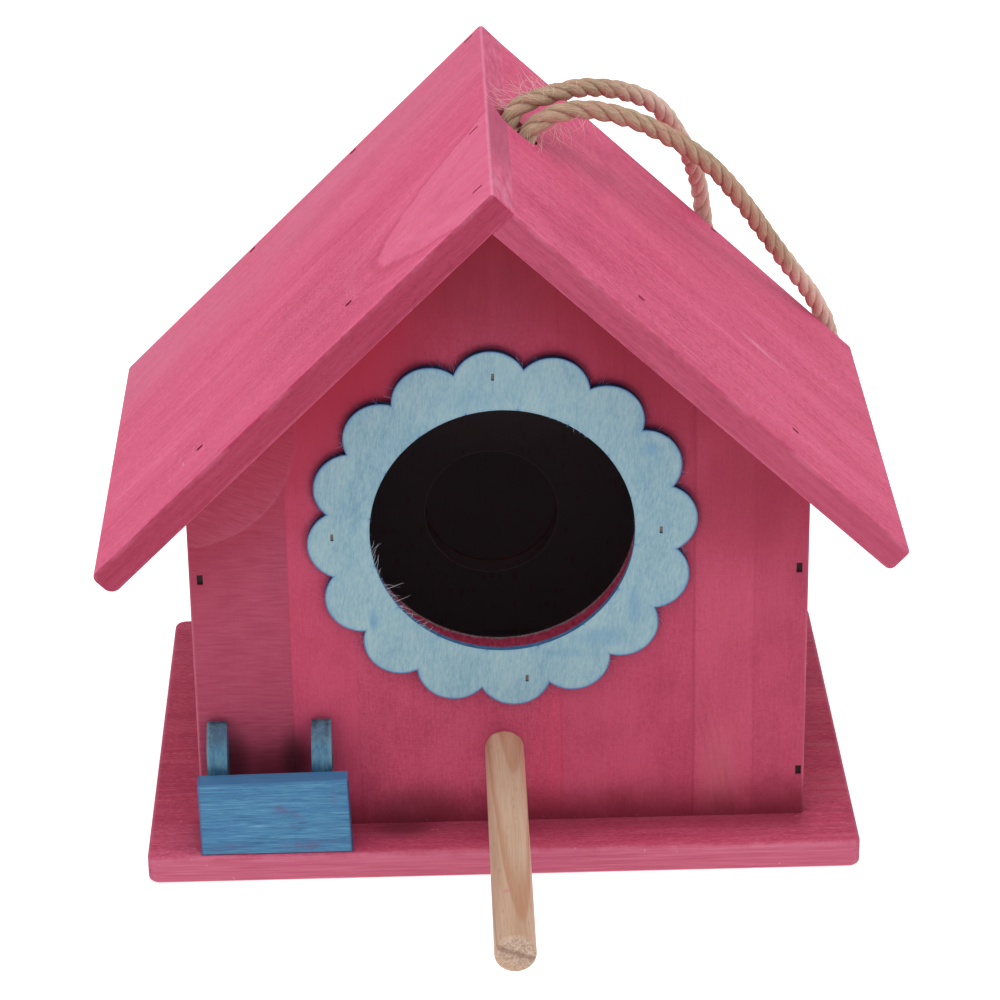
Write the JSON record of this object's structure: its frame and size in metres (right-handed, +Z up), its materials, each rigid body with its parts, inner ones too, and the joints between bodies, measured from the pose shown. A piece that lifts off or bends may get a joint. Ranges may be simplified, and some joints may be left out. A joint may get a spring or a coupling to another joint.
{
  "type": "birdhouse",
  "caption": "Gabled wooden birdhouse on a base board, with a scalloped round entrance, dowel perch, feed trough, rear clean-out cover and rope hanging loop.",
  "frame": {"origin": "centre of the base board's underside", "axes": "+X to the viewer's right, +Y from the front with the entrance to the back, +Z up"},
  "size_m": [0.1623, 0.1846, 0.1492],
  "materials": {
    "roof_pink": "matt pink stain, grain showing, worn edges",
    "wall_pink": "matt deep pink stain, grain showing",
    "base_pink": "matt pink stain, grain showing, worn edges",
    "ring_blue": "thin pale blue paint on plywood, darker cut edge",
    "trough_blue": "matt blue stain, grain showing",
    "bare_wood": "bare turned dowel",
    "cover_pink": "matt pink stain on plywood",
    "steel": "dull bright steel",
    "zinc": "zinc plated steel",
    "jute": "three-strand jute cord with loose fibres"
  },
  "bodies": {
    "house": {"base_board": "base_pink", "front_panel": "wall_pink", "back_panel": "wall_pink", "left_side_panel": "wall_pink", "right_side_panel": "wall_pink", "roof_left_board": "roof_pink", "roof_right_board": "roof_pink", "entrance_ring": "ring_blue", "perch_dowel": "bare_wood", "trough_front_board": "trough_blue", "trough_left_cheek": "trough_blue", "trough_right_cheek": "trough_blue", "front_panel_nails": "steel", "back_panel_nails": "steel", "ridge_nails": "steel", "roof_left_nails": "steel", "roof_right_nails": "steel", "base_nails": "steel", "ring_pins": "steel", "cleanout_screw": "zinc", "cleanout_washer": "zinc", "hanging_rope": "jute", "rope_knot": "jute"},
    "cover": {"cleanout_cover": "cover_pink"}
  },
  "joints": [
    {"name": "cover_pivot", "type": "hinge", "parent": "house", "child": "cover", "pos_m": [0, 0.05315, 0.062], "axis": [0, 1, 0], "continuous": true}
  ]
}
